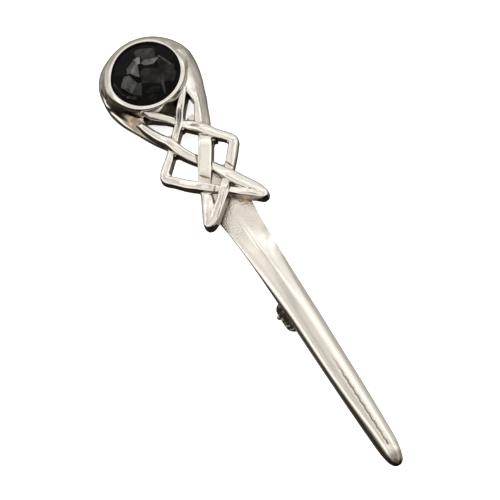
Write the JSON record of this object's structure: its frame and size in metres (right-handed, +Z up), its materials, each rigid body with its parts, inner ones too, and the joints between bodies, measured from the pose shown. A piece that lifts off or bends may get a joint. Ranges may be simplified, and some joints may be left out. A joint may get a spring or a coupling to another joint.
{
  "type": "kilt pin",
  "caption": "Kilt pin with a round faceted stone in a raised bezel, an open interlaced knot and a long tapering blade, with a hinged stem and a turning catch on the back.",
  "frame": {"origin": "middle of the bounding box, on the surface the pin lies on", "axes": "+X to the right across the face, +Y towards the head, +Z up from the surface it lies on"},
  "size_m": [0.0178, 0.0988, 0.01],
  "materials": {
    "silver_metal": "polished",
    "black_glass": "polished",
    "dark_metal": "polished",
    "steel": "polished"
  },
  "bodies": {
    "brooch": {"cast_body": "silver_metal", "stone": "black_glass", "hinge_bracket": "dark_metal", "hinge_rivet": "steel", "catch_housing": "dark_metal"},
    "stem": {"pin_stem": "steel"},
    "catch": {"catch_sleeve": "dark_metal"}
  },
  "joints": [
    {"name": "stem_swing", "type": "hinge", "parent": "brooch", "child": "stem", "pos_m": [0, 0.01171, 0.0009], "axis": [1, 0, 0], "range_deg": [0, 110]},
    {"name": "catch_turn", "type": "hinge", "parent": "brooch", "child": "catch", "pos_m": [0, -0.01177, 0.0027], "axis": [0, -0.9971, 0.0766], "range_deg": [0, 150]}
  ]
}
